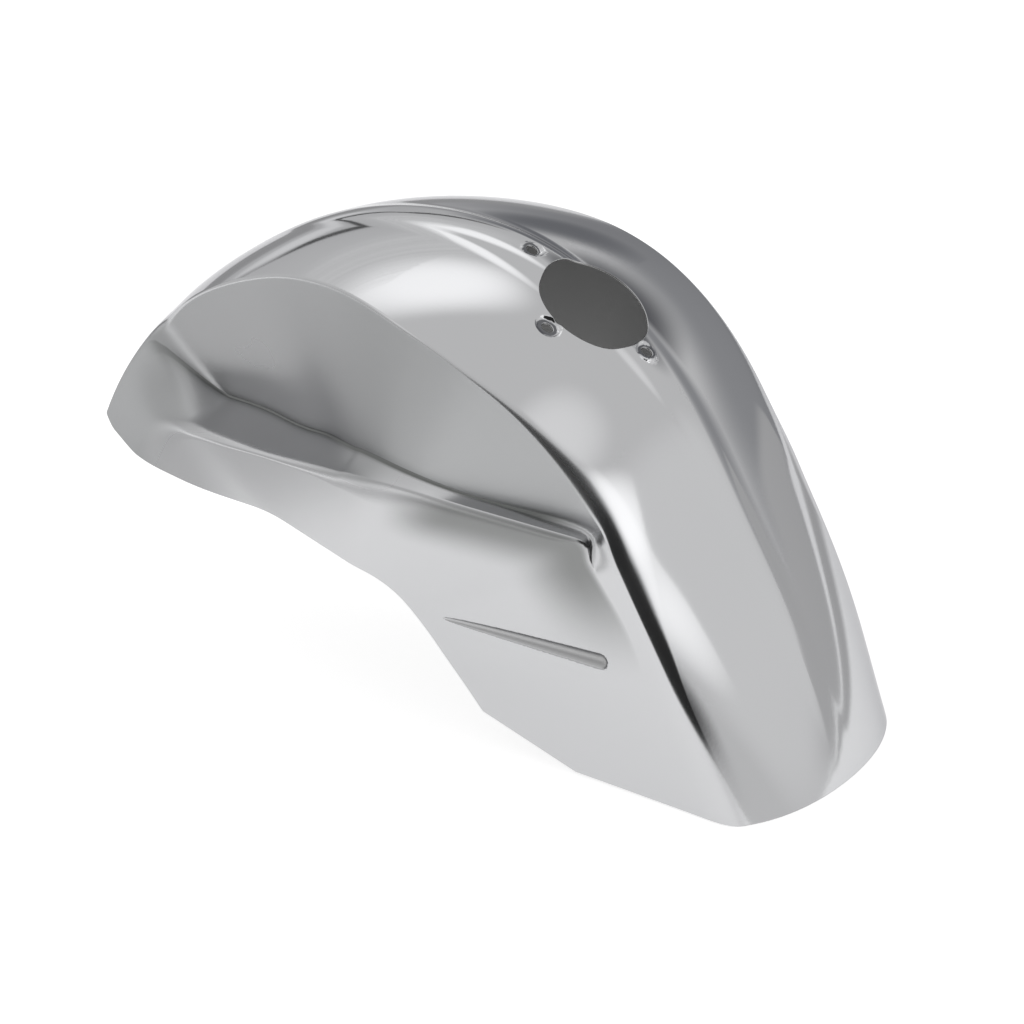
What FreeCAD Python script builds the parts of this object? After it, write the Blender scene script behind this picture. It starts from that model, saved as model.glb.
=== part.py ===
"""Scooter front fender: one pressed and chromed steel shell with a steering-column opening.

Millimetres. Z is up and X runs to the rear as the fender sits on the scooter.
The origin is on the steering axis at the crown, in the middle of the column opening.
The shell is drawn as panels between its creases: skirt, shelf, recess face, crown and spine rib.
"""
import FreeCAD
import Part
import math
import os
import Sketcher

doc = FreeCAD.newDocument("fender")
sheet = doc.addObject("Spreadsheet::Sheet", "Sizes")

# Every driving size, once: name, value, what it measures
SIZES = [
    ("sheet_thickness", 1.2, "steel sheet"),
    ("rake", 30.0, "lean of the steering axis, degrees"),
    ("arch_ahead", 114.4, "wheel centre ahead of the steering opening"),
    ("arch_below", 219.5, "wheel centre below the steering opening"),
    ("pitch", 6.0, "angle between two cross-sections, degrees"),
    ("first_section", 12.0, "angle of the first cross-section, from level at the front"),
    ("spine_nose", 242.0, "arch radius along the spine, nose"),
    ("spine_front", 242.2, "arch radius along the spine, front"),
    ("spine_top", 247.2, "arch radius along the spine, at the opening"),
    ("spine_rear", 239.0, "arch radius along the spine, above the tail"),
    ("tail_start", 150.0, "angle where the tail starts to sweep out"),
    ("tail_sweep", 44.8, "how far the tail sweeps out over tail_span"),
    ("tail_span", 33.0, "angle over which that sweep is measured"),
    ("rib_high", 4.5, "spine rib height at the opening"),
    ("rib_low", 2.3, "spine rib height down the tail"),
    ("rib_half_wide", 13.0, "half width of the rib at the opening"),
    ("rib_half_narrow", 6.5, "half width of the rib at its ends"),
    ("rib_flank", 6.0, "width of the rib's sloping flank"),
    ("rib_shoulder", 0.85, "height of the rib's edges as a share of its middle"),
    ("crest_nose", 70.0, "crest half width at the nose"),
    ("crest_recess", 62.0, "crest half width where the side recess starts"),
    ("crest_front", 73.0, "crest half width over the front of the recess"),
    ("crest_middle", 88.0, "crest half width over the middle of the recess"),
    ("crest_wide", 106.5, "crest half width just ahead of its widest"),
    ("crest_top", 110.5, "crest half width at its widest, beside the opening"),
    ("crest_rear", 100.5, "crest half width behind the opening"),
    ("crest_tail", 89.0, "crest half width at the tail's end"),
    ("crown_nose", 300.0, "radius of the crown across the nose"),
    ("crown_front", 178.0, "radius of the crown over the front of the recess"),
    ("crown_top", 310.0, "radius of the crown across the opening"),
    ("crown_rear", 335.0, "radius of the crown behind the opening"),
    ("crown_tail", 190.0, "radius of the crown across the tail"),
    ("recess_start", 44.5, "angle where the side recess starts"),
    ("recess_lead", 6.0, "angle over which the recess sinks in"),
    ("recess_end", 144.0, "angle where the recess foot turns along the crest"),
    ("foot_height", 121.0, "height of the recess foot above the wheel centre"),
    ("foot_fall", 4.0, "how much lower the foot is at the recess end"),
    ("foot_lean", 4.0, "how far the recess face leans in at its foot"),
    ("nose_round", 22.0, "how far the nose side stands out below its crest"),
    ("nose_drop", 34.0, "how far below the crest it does so"),
    ("nose_share", 0.15, "share of that drop kept as a strip under the crest"),
    ("nose_fold", 60.0, "drop from the crest to the fold on the nose"),
    ("foot_drop_rear", 23.0, "drop from the crest to the foot behind the recess"),
    ("foot_drop_tail", 9.0, "drop from the crest to the foot where the tail starts"),
    ("foot_drop_end", 34.0, "drop from the crest to the foot at the tail's end"),
    ("fold_height", 115.0, "height of the skirt's fold above the wheel centre"),
    ("fold_step", 4.0, "least drop from the foot to the fold"),
    ("fold_nose", 97.0, "skirt half width at the nose"),
    ("fold_side", 107.5, "skirt half width along the shelf"),
    ("edge_front", 104.5, "half width at the skirt's lower end, front"),
    ("edge_middle", 93.0, "half width at the skirt's lower end, behind the recess"),
    ("edge_rear", 89.0, "half width at the skirt's lower end, rear"),
    ("skin_inner", 42.0, "radius where the untrimmed skin ends"),
    ("nose_level", 145.0, "front lower edge below the opening, where the arch cut starts"),
    ("nose_rise", 3.0, "upward slope of that edge toward the nose, degrees"),
    ("tail_level", 267.6, "rear corner of the lower edge below the opening"),
    ("tail_fall", 0.8, "downward slope of the edge behind that corner, degrees"),
    ("arch_front", 172.0, "where the arch cut starts, ahead of the opening"),
    ("knee_ahead", 82.5, "knee of the arch cut, ahead of the opening"),
    ("knee_level", 173.5, "knee of the arch cut, below the opening"),
    ("heel_ahead", 7.0, "rear corner of the arch cut, ahead of the opening"),
    ("arch_round", 110.0, "rounding where the arch cut starts"),
    ("knee_round", 60.0, "rounding of the knee"),
    ("heel_round", 55.0, "rounding of the rear corner"),
    ("opening_radius", 36.5, "column opening"),
    ("front_screw", 51.5, "front screw hole ahead of the steering axis"),
    ("rear_screw", 43.5, "rear screw hole behind the steering axis"),
    ("side_screw", 43.8, "side screw hole to the left of the steering axis"),
    ("side_screw_ahead", 3.7, "side screw hole ahead of the steering axis"),
    ("screw_radius", 4.2, "clearance hole for an eight-millimetre screw"),
    ("seat_radius", 7.4, "flat seat pressed round the side screw hole"),
    ("spine_seat_radius", 6.6, "flat seat pressed round each screw hole on the rib"),
    ("seat_sink", 1.4, "how far the seats are sunk below the skin"),
    ("press_room", 12.0, "room kept under the skin for pressed seats and grooves"),
    ("tool_reach", 60.0, "how far the drills run past the crown"),
    ("groove_front_ahead", 48.0, "tip of the side groove, ahead of the opening"),
    ("groove_front_level", 188.0, "tip of the side groove, below the opening"),
    ("groove_rear_behind", 68.0, "round end of the side groove, behind the opening"),
    ("groove_rear_level", 182.0, "round end of the side groove, below the opening"),
    ("groove_half", 4.2, "half width of the groove at its round end"),
    ("groove_depth", 2.2, "depth of the groove at its round end"),
    ("groove_tip", 0.6, "radius left at the groove's tip"),
    ("trim_reach", 300.0, "how far the trimming tools run past the shell"),
]
for row, (name, value, note) in enumerate(SIZES, start=1):
    sheet.set("A%d" % row, name)
    sheet.set("B%d" % row, str(value))
    sheet.set("C%d" % row, note)
    sheet.setAlias("B%d" % row, name)
doc.recompute()


def size(name):
    """One driving size, read back from the sheet."""
    return float(sheet.get(name))


# Cross-sections
def rail(points, angle):
    """A value along the arch: straight between (angle, value) points and level beyond the ends."""
    if angle <= points[0][0]:
        return points[0][1]
    for (a0, v0), (a1, v1) in zip(points, points[1:]):
        if angle <= a1:
            return v0 + (v1 - v0) * (angle - a0) / (a1 - a0)
    return points[-1][1]


def between(start, end, share=0.5):
    """The point a share of the way from start to end, both (half width, radius)."""
    return (start[0] + (end[0] - start[0]) * share, start[1] + (end[1] - start[1]) * share)


def apart(a, b):
    return math.hypot(a[0] - b[0], a[1] - b[1])


def straight(start, end):
    """Control points of a panel that is flat across."""
    return [start, between(start, end, 1 / 3), between(start, end, 2 / 3), end]


def ease(before, after, softness):
    """Pulls the crease shared by two panels onto the line between its neighbours: 1 makes it smooth."""
    a, corner, b = before[-2], before[-1], after[1]
    smooth = between(a, b, apart(a, corner) / (apart(a, corner) + apart(corner, b)))
    before[-1] = after[0] = between(corner, smooth, softness)


START, LEAD, END = size("recess_start"), size("recess_lead"), size("recess_end")
SPINE = [(32, size("spine_nose")), (60, size("spine_front")), (105, size("spine_top")),
         (145, size("spine_rear"))]
RIB = [(58, 0.0), (100, size("rib_high")), (122, size("rib_high")), (140, size("rib_low")),
       (168, size("rib_low")), (186, 0.0)]
RIB_HALF = [(58, size("rib_half_narrow")), (105, size("rib_half_wide")), (122, size("rib_half_wide")),
            (150, size("rib_half_narrow"))]
CREST = [(12, size("crest_nose")), (42, size("crest_recess")), (70, size("crest_front")),
         (85, size("crest_middle")), (101, size("crest_wide")), (113, size("crest_top")),
         (143, size("crest_rear")), (176, size("crest_rear")), (195, size("crest_tail"))]
CROWN = [(30, size("crown_nose")), (68, size("crown_front")), (116, size("crown_top")),
         (128, size("crown_rear")), (150, size("crown_rear")), (190, size("crown_tail"))]
FOLD_HALF = [(12, size("fold_nose")), (50, size("fold_side")), (115, size("fold_side")),
             (160, size("crest_rear"))]
EDGE_HALF = [(12, size("edge_front")), (95, size("edge_front")), (165, size("edge_middle")),
             (200, size("edge_rear"))]
FOOT_FALL = [(85, 0.0), (END, size("foot_fall"))]
# How smooth each crease is: 0 is a sharp fold, 1 runs on without one
CREST_EASE = [(START - LEAD, 0.5), (START + LEAD, 0.0), (150, 0.0), (186, 1.0)]
FOLD_EASE = [(START - LEAD, 1.0), (START + LEAD, 0.0)]


def spine_radius(angle):
    swept = max(0.0, (angle - size("tail_start")) / size("tail_span"))
    return rail(SPINE, angle) + size("tail_sweep") * swept * swept


def section(angle):
    """Half cross-section at one angle as panels of (half width, radius) points, lower edge to rib."""
    up = max(0.2, math.sin(math.radians(angle)))
    top = spine_radius(angle)
    half = rail(CREST, angle)
    curve = 1 / (2 * rail(CROWN, angle))
    crest = (half, top - curve * half ** 2)
    edge = (rail(EDGE_HALF, angle), size("skin_inner"))
    # Recess foot: level along the shelf, then along the crest behind the recess
    level = (size("foot_height") - rail(FOOT_FALL, angle)) / up
    shoulder = (half + size("nose_round"), crest[1] - size("nose_drop"))
    strip = between(crest, shoulder, size("nose_share"))
    sunk = min(1.0, max(0.0, (angle - START + LEAD) / LEAD))
    foot = between(strip, (half - size("foot_lean"), level), sunk)
    if angle > END:
        drop = [(END, size("foot_drop_rear")), (164, size("foot_drop_tail")), (195, size("foot_drop_end"))]
        foot = (foot[0], min(level, crest[1] - rail(drop, angle)))
    # Fold of the skirt: level, a little below the foot
    low = min(size("fold_height") / up, foot[1] - size("fold_step"))
    nose_low = crest[1] - size("nose_fold")
    fold = (rail(FOLD_HALF, angle), nose_low + (low - nose_low) * sunk)
    # Behind the recess the side is one plain wall from crest to lower edge
    plain = min(1.0, max(0.0, (angle - 158) / 14))
    span = crest[1] - edge[1]
    foot_wall = half + (edge[0] - half) * (crest[1] - foot[1]) / span
    fold_wall = half + (edge[0] - half) * (crest[1] - fold[1]) / span
    foot = (foot[0] + (foot_wall - foot[0]) * plain, foot[1])
    fold = (fold[0] + (fold_wall - fold[0]) * plain, fold[1])
    # Crown: a parabola from the crest to the foot of the rib
    rib_half = rail(RIB_HALF, angle)
    base_half = rib_half + size("rib_flank")
    rib_base = (base_half, top - curve * base_half ** 2)
    rib_edge = (rib_half, top - curve * rib_half ** 2 + size("rib_shoulder") * rail(RIB, angle))
    meet = ((half + base_half) / 2, top - curve * half * base_half)
    crown = [crest, between(crest, meet, 2 / 3), between(rib_base, meet, 2 / 3), rib_base]
    bulge = between(shoulder, between(fold, foot), sunk)
    shelf = [fold, between(fold, bulge, 2 / 3), between(foot, bulge, 2 / 3), foot]
    panels = [straight(edge, fold), shelf, straight(foot, crest), crown, [rib_base, rib_edge]]
    ease(panels[0], panels[1], rail(FOLD_EASE, angle))
    ease(panels[2], panels[3], rail(CREST_EASE, angle))
    return panels, [rib_edge, (0.0, 2 * (top + rail(RIB, angle)) - rib_edge[1]), rib_edge]


PITCH = size("pitch")
ANGLES = [size("first_section") + PITCH * k for k in range(33)]
# Control radii are enlarged so that the smooth surface itself has the stated radii
SWELL = 3.0 / (2.0 + math.cos(math.radians(PITCH)))


def place(y, radius, angle):
    a = math.radians(angle)
    return FreeCAD.Vector(-size("arch_ahead") - radius * SWELL * math.cos(a), y,
                          -size("arch_below") + radius * SWELL * math.sin(a))


def across(angle):
    """The whole cross-section's panels, left lower edge over the rib to right lower edge."""
    half, top = section(angle)
    left = [[place(-y, r, angle) for y, r in panel] for panel in half]
    right = [[place(y, r, angle) for y, r in panel[::-1]] for panel in half[::-1]]
    (y, r), (_, peak), _ = top
    return left + [[place(-y, r, angle), place(0, peak, angle), place(y, r, angle)]] + right


# Surfaces
def smooth_surface(net):
    """The surface steered by a net of control points: cubic along the arch, one span across."""
    count, rows = len(net), len(net[0])
    u_mults, u_knots = [4] + [1] * (count - 4) + [4], [float(k) for k in range(count - 2)]
    surface = Part.BSplineSurface()
    surface.buildFromPolesMultsKnots(net, u_mults, [rows, rows], u_knots, [0.0, 1.0],
                                     False, False, 3, rows - 1)
    return surface


def steer(k, count):
    """Surface parameter that a control point along the arch steers most."""
    knots = [0.0] * 3 + [float(j) for j in range(count - 2)] + [count - 3.0] * 3
    return sum(knots[k + 1:k + 4]) / 3.0


def outward(surfaces, panel, station, row, rows):
    """Outward normal of one panel at a control point."""
    count = len(ANGLES)
    return surfaces[panel].normal(steer(station, count), row / (rows - 1.0)) * SIDE


def thick_solid(outer_nets, inner_nets):
    """The solid between two sets of panels, closed by ruled walls along its outside edges."""
    outer = [smooth_surface(net) for net in outer_nets]
    inner = [smooth_surface(net) for net in inner_nets]
    last = len(outer_nets[0]) - 3.0
    faces = [surface.toShape() for surface in outer + inner]
    for top, low in zip(outer, inner):
        for end in (0.0, last):
            faces.append(Part.makeRuledSurface(top.uIso(end).toShape(), low.uIso(end).toShape()))
    for top, low, end in ((outer[0], inner[0], 0.0), (outer[-1], inner[-1], 1.0)):
        faces.append(Part.makeRuledSurface(top.vIso(end).toShape(), low.vIso(end).toShape()))
    shell = Part.makeShell(faces)
    shell.sewShape()
    solid = Part.makeSolid(shell)
    if solid.Volume < 0:
        solid.reverse()
    return solid


stations = [across(angle) for angle in ANGLES]
panel_count = len(stations[0])
outer_nets = [[station[p] for station in stations] for p in range(panel_count)]
skins = [smooth_surface(net) for net in outer_nets]
rib_panel = panel_count // 2
middle = len(ANGLES) // 2
wheel = FreeCAD.Vector(-size("arch_ahead"), 0, -size("arch_below"))
up_there = outer_nets[rib_panel][middle][1] - wheel
SIDE = 1.0 if skins[rib_panel].normal(steer(middle, len(ANGLES)), 0.5).dot(up_there) > 0 else -1.0

# Inner skin: every control point one sheet thickness in, mitred where two panels meet in a crease
inner_nets = []
for p, net in enumerate(outer_nets):
    rows = len(net[0])
    inner_net = []
    for i, line in enumerate(net):
        inner_line = []
        for j, point in enumerate(line):
            normal = outward(skins, p, i, j, rows)
            other = normal
            if j == 0 and p > 0:
                other = outward(skins, p - 1, i, len(outer_nets[p - 1][0]) - 1, len(outer_nets[p - 1][0]))
            if j == rows - 1 and p < panel_count - 1:
                other = outward(skins, p + 1, i, 0, len(outer_nets[p + 1][0]))
            inner_line.append(point - (normal + other) * (size("sheet_thickness") / (1 + normal.dot(other))))
        inner_net.append(inner_line)
    inner_nets.append(inner_net)
blank = doc.addObject("Part::Feature", "Blank")
blank.Shape = thick_solid(outer_nets, inner_nets)

# Side view of what the lower edge is trimmed by: level nose, arch cut over the wheel, level tail
trim = doc.addObject("Sketcher::SketchObject", "LowerEdge")
turn_up = FreeCAD.Rotation(FreeCAD.Vector(1, 0, 0), 90)
trim.Placement = FreeCAD.Placement(FreeCAD.Vector(0, size("trim_reach"), 0), turn_up)


def spot(x, z):
    return FreeCAD.Vector(x, z, 0)


def slope(name):
    return math.tan(math.radians(size(name)))


far_front = -size("arch_ahead") - size("spine_top") - size("trim_reach")
far_rear = size("spine_top") + size("trim_reach")
far_low = -size("tail_level") - size("trim_reach")
corner = {
    "front": spot(far_front, -size("nose_level") + slope("nose_rise") * (-size("arch_front") - far_front)),
    "arch": spot(-size("arch_front"), -size("nose_level")),
    "knee": spot(-size("knee_ahead"), -size("knee_level")),
    "heel": spot(-size("heel_ahead"), -size("tail_level")),
    "rear": spot(far_rear, -size("tail_level") - slope("tail_fall") * (far_rear + size("heel_ahead"))),
    "rear_low": spot(far_rear, far_low),
    "front_low": spot(far_front, far_low),
}


def rounding(before, at, after, radius):
    """Arc of a radius between two lines that meet at a corner: its two ends and centre."""
    to_before = (before - at).normalize()
    to_after = (after - at).normalize()
    angle = to_before.getAngle(to_after)
    reach = radius / math.tan(angle / 2)
    halfway = (to_before + to_after).normalize()
    return at + to_before * reach, at + to_after * reach, at + halfway * (radius / math.sin(angle / 2))


path = list(corner)
round_of = {"arch": "arch_round", "knee": "knee_round", "heel": "heel_round"}
ends = {name: (point, point) for name, point in corner.items()}
for name, radius in round_of.items():
    k = path.index(name)
    start, end, mid = rounding(corner[path[k - 1]], corner[name], corner[path[k + 1]], size(radius))
    ends[name] = (start, end)
    a0 = math.atan2(start.y - mid.y, start.x - mid.x)
    a1 = math.atan2(end.y - mid.y, end.x - mid.x)
    turn = (a1 - a0 + math.pi) % (2 * math.pi) - math.pi
    low, high = (a0, a1) if turn > 0 else (a1, a0)
    circle = Part.Circle(mid, FreeCAD.Vector(0, 0, 1), size(radius))
    trim.addGeometry(Part.ArcOfCircle(circle, low, high))
for k, name in enumerate(path):
    trim.addGeometry(Part.LineSegment(ends[name][1], ends[path[(k + 1) % len(path)]][0]))
below = doc.addObject("Part::Extrusion", "BelowEdge")
below.Base = trim
below.DirMode = "Custom"
below.Dir = FreeCAD.Vector(0, -1, 0)
below.setExpression("LengthFwd", "2 * Sizes.trim_reach")
below.Solid = True
trimmed = doc.addObject("Part::Cut", "Trimmed")
trimmed.Base = blank
trimmed.Tool = below

# Slabs under the skin, which keep the pressed seats and grooves inside it
lean = FreeCAD.Rotation(FreeCAD.Vector(0, 1, 0), size("rake"))
along = lean.multVec(FreeCAD.Vector(1, 0, 0))
axis = lean.multVec(FreeCAD.Vector(0, 0, 1))
BACKING = size("press_room")


def backing(name, panels, shift):
    """The room from the outer skin of some panels to a shifted copy of them."""
    nets = [outer_nets[p] for p in panels]
    shifted = [[[point + shift for point in line] for line in net] for net in nets]
    room = doc.addObject("Part::Feature", name)
    room.Shape = thick_solid(nets, shifted)
    return room


crown_room = backing("UnderCrown", range(rib_panel - 2, rib_panel + 3), axis * -BACKING)
left_room = backing("InsideLeft", [0], FreeCAD.Vector(0, BACKING, 0))
right_room = backing("InsideRight", [panel_count - 1], FreeCAD.Vector(0, -BACKING, 0))


def on_skin(panels, start, direction):
    """Where a line first meets the outer skin of some panels."""
    reach = size("trim_reach")
    line = Part.makeLine(start + direction * reach, start - direction * reach)
    hits = []
    for p in panels:
        distance, points, _ = skins[p].toShape().distToShape(line)
        if distance < 0.01:
            hits.append(max((pair[0] for pair in points), key=lambda at: at.dot(direction)))
    return max(hits, key=lambda at: at.dot(direction))


# Flat screw seats: a cup of one sheet thickness under the skin, its floor square to the steering axis
SCREWS = [
    ("Front", along * -size("front_screw"), "spine_seat_radius"),
    ("Rear", along * size("rear_screw"), "spine_seat_radius"),
    ("Left", along * -size("side_screw_ahead") + FreeCAD.Vector(0, -size("side_screw"), 0), "seat_radius"),
]


def cylinder(name, radius, height, base):
    """A cylinder along the steering axis, its sizes bound to the sheet."""
    made = doc.addObject("Part::Cylinder", name)
    made.setExpression("Radius", radius)
    made.setExpression("Height", height)
    made.Placement = FreeCAD.Placement(base, lean)
    return made


cups, pockets, drills = [], [], []
low_end = axis * -size("tool_reach")
drills.append(cylinder("ColumnOpening", "Sizes.opening_radius", "2 * Sizes.tool_reach", low_end))
for name, at, radius in SCREWS:
    crown_at = on_skin(range(rib_panel - 1, rib_panel + 2) if name != "Left" else [rib_panel - 2], at, axis)
    floor = crown_at - axis * size("seat_sink")
    cup_base = floor - axis * size("sheet_thickness")
    cup_radius = "Sizes.%s + Sizes.sheet_thickness" % radius
    cups.append(cylinder("Cup" + name, cup_radius, "Sizes.tool_reach", cup_base))
    pockets.append(cylinder("Pocket" + name, "Sizes." + radius, "Sizes.tool_reach", floor))
    drills.append(cylinder("Screw" + name, "Sizes.screw_radius", "2 * Sizes.tool_reach", at + low_end))
    print("seat", name, [round(c, 4) for c in floor - axis * (size("sheet_thickness") / 2)])

# Side grooves: a bead from a pointed tip to a round end, pressed into each skirt
half, depth, tip = size("groove_half"), size("groove_depth"), size("groove_tip")
bead_radius = (half * half + depth * depth) / (2 * depth)
beads, bosses = [], []
for name, side, panel in (("Left", -1, 0), ("Right", 1, panel_count - 1)):
    out = FreeCAD.Vector(0, side, 0)
    front = FreeCAD.Vector(-size("groove_front_ahead"), 0, -size("groove_front_level"))
    rear = FreeCAD.Vector(size("groove_rear_behind"), 0, -size("groove_rear_level"))
    start = on_skin([panel], front, out) + out * tip
    end = on_skin([panel], rear, out) + out * (bead_radius - depth)
    turn = FreeCAD.Rotation(FreeCAD.Vector(0, 0, 1), end - start)
    for kind, grow, made in (("Bead", 0.0, beads), ("Boss", size("sheet_thickness"), bosses)):
        cone = doc.addObject("Part::Cone", kind + "Run" + name)
        cone.Radius1, cone.Radius2 = tip + grow, bead_radius + grow
        cone.Height = (end - start).Length
        cone.Placement = FreeCAD.Placement(start, turn)
        ball = doc.addObject("Part::Sphere", kind + "End" + name)
        ball.Radius = bead_radius + grow
        ball.Placement = FreeCAD.Placement(end, FreeCAD.Rotation())
        made += [cone, ball]


def joined(name, pieces):
    fuse = doc.addObject("Part::MultiFuse", name)
    fuse.Shapes = pieces
    return fuse


def inside(name, pieces, room):
    """The part of some pieces that lies in a room."""
    common = doc.addObject("Part::Common", name)
    common.Base = joined(name + "Whole", pieces)
    common.Tool = room
    return common


seats = inside("Seats", cups, crown_room)
left_groove = inside("GrooveLeft", bosses[:2], left_room)
right_groove = inside("GrooveRight", bosses[2:], right_room)
pressed = joined("Pressed", [trimmed, seats, left_groove, right_groove])
fender = doc.addObject("Part::Cut", "Fender")
fender.Base = pressed
fender.Tool = joined("Cutters", drills + pockets + beads)
fender.Label = "fender"

doc.recompute()
for item in doc.Objects:
    if "Invalid" in item.State or "Error" in item.State:
        raise RuntimeError("%s did not rebuild: %s" % (item.Label, item.State))
    if hasattr(item, "Shape") and (item.Shape.isNull() or not item.Shape.isValid()):
        raise RuntimeError("%s has no valid shape" % item.Label)
if len(fender.Shape.Solids) != 1:
    raise RuntimeError("the fender is %d solids" % len(fender.Shape.Solids))
os.makedirs("parts", exist_ok=True)
fender.Shape.exportStep("parts/fender.step")
print("fender", len(fender.Shape.Faces), "faces, volume", round(fender.Shape.Volume))
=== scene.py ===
# %% [markdown]
# Scooter front fender, dressed for a studio picture.
# On the real scooter this is one sheet of steel, pressed to shape, trimmed and chromed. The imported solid
# is loaded first and is never changed: it gives the size and the place of everything. One new piece then
# stands for it, the same sheet with soft bends and a rounded edge. A Bevel on the solid's creases would
# be quicker, but chrome shows every uneven facet, so the sheet is worked out again as one smooth formula.

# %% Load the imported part
import bmesh
import bpy
import numpy as np
from mathutils import Matrix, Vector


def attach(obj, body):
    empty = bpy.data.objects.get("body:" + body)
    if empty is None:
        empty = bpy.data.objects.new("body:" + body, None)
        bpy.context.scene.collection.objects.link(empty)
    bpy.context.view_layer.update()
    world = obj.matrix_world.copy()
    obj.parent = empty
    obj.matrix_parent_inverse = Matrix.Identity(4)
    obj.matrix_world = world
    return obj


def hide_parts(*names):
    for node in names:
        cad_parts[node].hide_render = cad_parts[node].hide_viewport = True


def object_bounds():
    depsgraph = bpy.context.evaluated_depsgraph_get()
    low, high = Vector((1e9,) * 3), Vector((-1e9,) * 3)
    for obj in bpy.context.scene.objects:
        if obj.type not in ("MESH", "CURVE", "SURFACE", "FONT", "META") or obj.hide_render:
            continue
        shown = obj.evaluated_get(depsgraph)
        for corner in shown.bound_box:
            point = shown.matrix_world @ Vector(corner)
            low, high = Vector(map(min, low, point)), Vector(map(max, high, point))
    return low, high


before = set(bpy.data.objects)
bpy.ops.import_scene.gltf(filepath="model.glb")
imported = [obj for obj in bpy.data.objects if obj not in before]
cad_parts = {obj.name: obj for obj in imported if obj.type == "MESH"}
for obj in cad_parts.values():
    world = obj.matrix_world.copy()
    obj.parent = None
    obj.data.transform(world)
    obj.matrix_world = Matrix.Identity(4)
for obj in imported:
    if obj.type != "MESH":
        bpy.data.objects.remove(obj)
cad_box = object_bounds()
print("solid from", [round(c, 4) for c in cad_box[0]], "to", [round(c, 4) for c in cad_box[1]])

# %% [markdown]
# The fender is an arch round the wheel, so it is described by cross-sections that fan out from the
# wheel's centre. Sizes are in millimetres and angles in degrees, 0 being level at the front and 90
# straight up. A rail gives one size along the arch: a few values at named angles, straight lines between
# them, and a B-spline that rounds off the corners. A curve drawn by hand would do as well, but a rail can
# be changed number by number.

# %% Section angles and rails
STATION_STEP = 6.0
STATION = STATION_STEP * np.arange(37)
PITCH = 1.5
ANGLE = 9.0 + PITCH * np.arange(133)
WHEEL = np.array([-114.4, 0.0, -219.5])
RAKE = np.radians(30.0)
STEER = np.array([np.sin(RAKE), 0.0, np.cos(RAKE)])


def blend(values, place):
    """A uniform cubic B-spline: the four values round each place, weighted by cubics of the fraction f."""
    whole = np.clip(np.floor(place).astype(int), 1, len(values) - 3)
    f = np.reshape(place - whole, (-1,) + (1,) * (values.ndim - 1))
    weights = [(1 - f) ** 3, 3 * f ** 3 - 6 * f ** 2 + 4, 1 + 3 * f + 3 * f ** 2 - 3 * f ** 3, f ** 3]
    return sum(weight * values[whole + k - 1] for k, weight in enumerate(weights)) / 6


def along(values):
    """Values at the wide stations, carried smoothly to every section angle."""
    return blend(values, ANGLE / STATION_STEP)


def rail(*points):
    """One size along the arch: linear between (angle, value) points, level outside, corners rounded off."""
    angle, value = np.array(points, float).T
    return along(np.interp(STATION, angle, value))


def soft_step(x, low, high):
    """0 below low, 1 above high, and a smooth 3t^2 - 2t^3 ramp between."""
    t = np.clip((x - low) / (high - low), 0, 1)
    return t * t * (3 - 2 * t)


print(len(ANGLE), "cross-sections from", ANGLE[0], "to", ANGLE[-1], "degrees")

# %% [markdown]
# The rails below set the main form. The spine is the top line over the wheel, which sweeps outward down
# the tail. The crest is the sharp shoulder where the crown turns down into the side, and the fold is the
# outer edge of the ledge under the recessed cheek. Half widths count from the middle plane, so one side
# serves for both.

# %% Sizes along the arch
TAIL_START, TAIL_SPAN, TAIL_SWEEP = 150.0, 33.0, 44.8
RIB_FLANK = 9.0
spine = rail((32, 242), (60, 242.2), (105, 247.2), (145, 239))
spine = spine + along(TAIL_SWEEP * np.maximum(0, (STATION - TAIL_START) / TAIL_SPAN) ** 2)
rib = rail((58, 0), (100, 4.5), (110, 4.2), (122, 2.6), (140, 1.5), (168, 1.3), (186, 0))
rib_half = rail((58, 6.5), (105, 13), (122, 13), (150, 6.5))
base_half = rib_half + RIB_FLANK
crest_half = rail((12, 70), (42, 62), (70, 73), (85, 88), (101, 106.5), (113, 110.5),
                  (143, 100.5), (176, 100.5), (195, 89))
crown_bend = 1 / (2 * rail((30, 300), (68, 178), (116, 310), (128, 335), (150, 335), (190, 190)))
edge_half = rail((12, 104.5), (95, 104.5), (165, 93), (200, 89))
fold_half = rail((18, 97), (32, 100), (50, 107.5), (115, 107.5), (160, 100.5))
print("crest half width", crest_half.min().round(1), "to", crest_half.max().round(1), "mm")

# %% [markdown]
# Across, the sheet is a chain of panels between creases: skirt, shelf, recess face, crown and the rib on
# the spine. Their ends are lines of points along the arch, each point written as (half width, radius).
# The recess lies between the angles START and END. Ahead of it and behind it the same lines slide
# together, so that the ledge fades into the nose as a cove and into the tail as a plain wall.

# %% Lines of points along the arch
START, LEAD, END = 44.5, 6.0, 144.0
EDGE_RADIUS = 42.0
LEDGE_HEIGHT = 115.0
FOOT_BELOW_CREST, FOLD_BELOW_CREST = 22.0, 50.0


def at(half, radius):
    """Points of one line, as rows of (half width, radius)."""
    return np.stack([half, np.broadcast_to(radius, half.shape)], 1)


def mix(a, b, share):
    """The point a share of the way from a to b, section by section."""
    return a + (b - a) * np.reshape(share, (-1, 1))


def lesser(a, b, width=14.0):
    """The smaller of two sizes, with the corner between them rounded off over a width."""
    return (a + b - np.sqrt((a - b) ** 2 + width ** 2)) / 2


def level_line(height, below_crest):
    """Radius of a line at one height over the wheel's centre, kept under the crest ahead of the top."""
    level = height / rise
    return np.where(ANGLE < 90, lesser(level, crest_radius - below_crest), level)


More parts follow.
